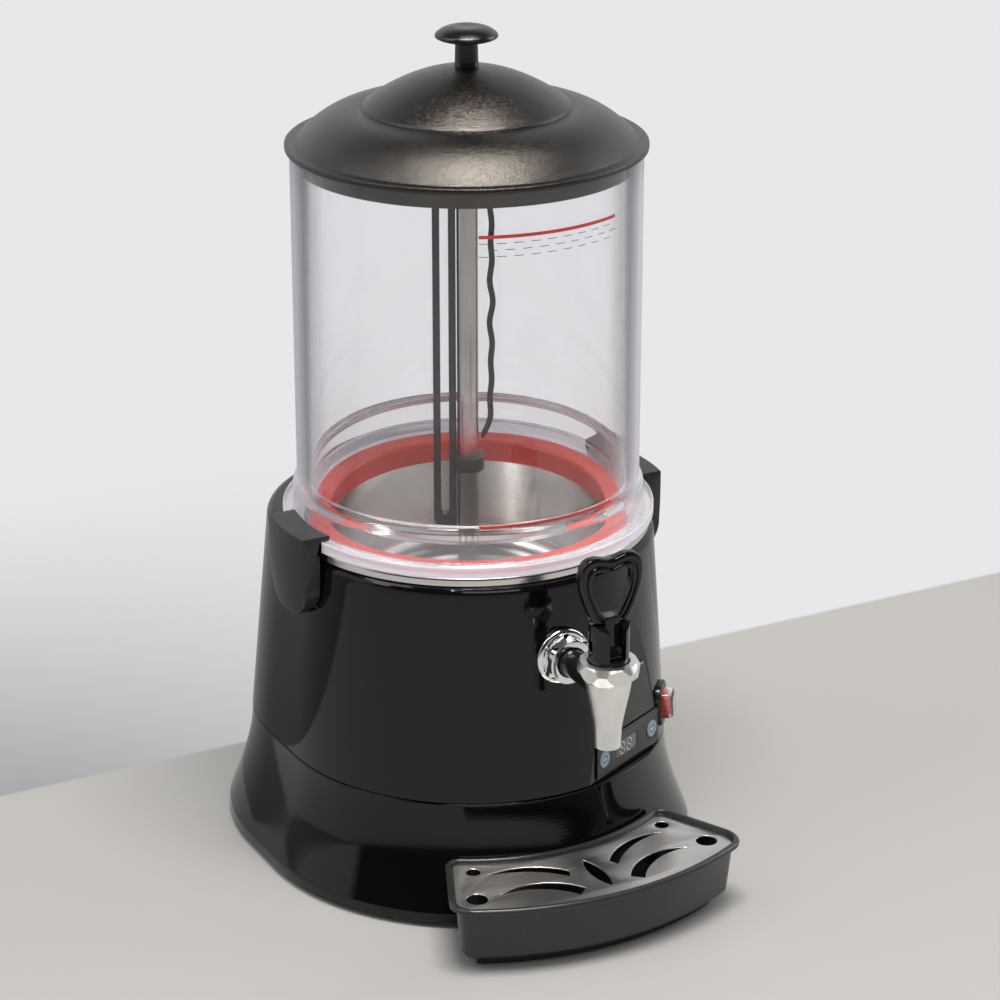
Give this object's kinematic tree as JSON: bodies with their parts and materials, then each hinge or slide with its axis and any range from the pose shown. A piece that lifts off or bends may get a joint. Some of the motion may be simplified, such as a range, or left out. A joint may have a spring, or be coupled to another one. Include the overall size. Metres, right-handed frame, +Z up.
{
  "type": "hot chocolate dispenser",
  "caption": "Counter-top hot drink dispenser: clear bowl with stirrer on a heated base, lever tap, clips, controls and a drip tray.",
  "frame": {"origin": "middle of the footprint's box, on the counter", "axes": "+Z up along the bowl's axis, -Y to the front where the tap is, +X to the right as seen from the front"},
  "size_m": [0.302, 0.4094, 0.5704],
  "materials": {
    "lid_black": "fine-grained black moulding",
    "black_gloss": "polished black moulding",
    "black_satin": "satin black moulding",
    "clear_plastic": "clear moulding",
    "red_silicone": "red silicone",
    "steel": "brushed stainless steel",
    "chrome": "polished plating",
    "satin_steel": "satin stainless steel",
    "smoke_plastic": "smoky grey moulding",
    "red_plastic": "red moulding",
    "panel_grey": "printed grey film",
    "button_blue": "blue-grey keys",
    "rubber": "black rubber",
    "zinc": "zinc plated steel",
    "board_green": "lacquered circuit board",
    "motor_grey": "grey painted motor"
  },
  "bodies": {
    "root": {"base_plate": "zinc", "base_shell": "black_gloss", "bowl": "clear_plastic", "centre_tube": "steel", "clip_mount_left": "black_satin", "clip_mount_right": "black_satin", "clip_pin_left": "steel", "clip_pin_right": "steel", "control_board": "board_green", "control_panel": "panel_grey", "cord_gland": "black_satin", "display_window": "clear_plastic", "foot_front_left": "rubber", "foot_front_right": "rubber", "foot_rear_left": "rubber", "foot_rear_right": "rubber", "gasket": "red_silicone", "gearmotor": "motor_grey", "heater": "zinc", "motor_bracket": "zinc", "name_plate": "panel_grey", "switch_bezel": "black_satin", "switch_cover": "clear_plastic", "tank": "steel", "tap_body": "satin_steel", "tap_bonnet": "black_satin", "tap_escutcheon": "chrome", "tap_nut": "chrome", "tap_shank": "black_satin", "temperature_probe": "zinc", "terminal_block": "black_satin", "upper_housing": "black_gloss", "water_bath": "steel"},
    "lid": {"lid": "lid_black", "lid_knob": "lid_black", "lid_screw": "steel"},
    "stirrer": {"stirrer_frame": "smoke_plastic", "stirrer_collar": "smoke_plastic", "stirrer_strip": "smoke_plastic", "drive_shaft": "steel", "shaft_coupling": "smoke_plastic"},
    "clip_left": {"clip_left": "black_satin"},
    "clip_right": {"clip_right": "black_satin"},
    "tap_valve": {"tap_stem": "rubber", "tap_pin": "chrome"},
    "tap_lever": {"tap_lever": "black_satin"},
    "drip_tray": {"drip_tray": "black_satin"},
    "drip_grid": {"drip_grid": "satin_steel"},
    "rocker": {"switch_rocker": "red_plastic"},
    "button_left": {"button_left": "button_blue"},
    "button_right": {"button_right": "button_blue"}
  },
  "joints": [
    {"name": "lid_lift", "type": "slide", "parent": "root", "child": "lid", "axis": [0, 0, 1], "range_m": [0, 0.1]},
    {"name": "stirrer_spin", "type": "hinge", "parent": "root", "child": "stirrer", "pos_m": [0, 0.01275, 0.2315], "axis": [0, 0, 1], "continuous": true},
    {"name": "clip_left_swing", "type": "hinge", "parent": "root", "child": "clip_left", "pos_m": [-0.1315, 0.01275, 0.1945], "axis": [0, -1, 0], "range_deg": [0, 60]},
    {"name": "clip_right_swing", "type": "hinge", "parent": "root", "child": "clip_right", "pos_m": [0.1315, 0.01275, 0.1945], "axis": [0, 1, 0], "range_deg": [0, 60]},
    {"name": "valve_lift", "type": "slide", "parent": "root", "child": "tap_valve", "axis": [0, 0, 1], "range_m": [0, 0.00551]},
    {"name": "lever_tilt", "type": "hinge", "parent": "tap_valve", "child": "tap_lever", "pos_m": [0, -0.17825, 0.2095], "axis": [1, 0, 0], "range_deg": [0, 35], "stiffness_Nm_per_rad": 0.2, "springref_deg": -11.46},
    {"name": "tray_pull", "type": "slide", "parent": "root", "child": "drip_tray", "axis": [0, -1, 0], "range_m": [0, 0.12]},
    {"name": "grid_lift", "type": "slide", "parent": "drip_tray", "child": "drip_grid", "axis": [0, 0, 1], "range_m": [0, 0.03]},
    {"name": "rocker_tilt", "type": "hinge", "parent": "root", "child": "rocker", "pos_m": [0.10294, -0.07763, 0.1067], "axis": [0.6428, 0.766, 0], "range_deg": [0, 12]},
    {"name": "button_left_press", "type": "slide", "parent": "root", "child": "button_left", "axis": [-0.454, 0.891, 0], "range_m": [0, 0.0006], "stiffness_N_per_m": 800, "springref_m": -0.0004},
    {"name": "button_right_press", "type": "slide", "parent": "root", "child": "button_right", "axis": [-0.454, 0.891, 0], "range_m": [0, 0.0006], "stiffness_N_per_m": 800, "springref_m": -0.0004}
  ],
  "couplings": [
    {"joint": "valve_lift", "follows": "lever_tilt", "m_per_rad": 0.009}
  ]
}
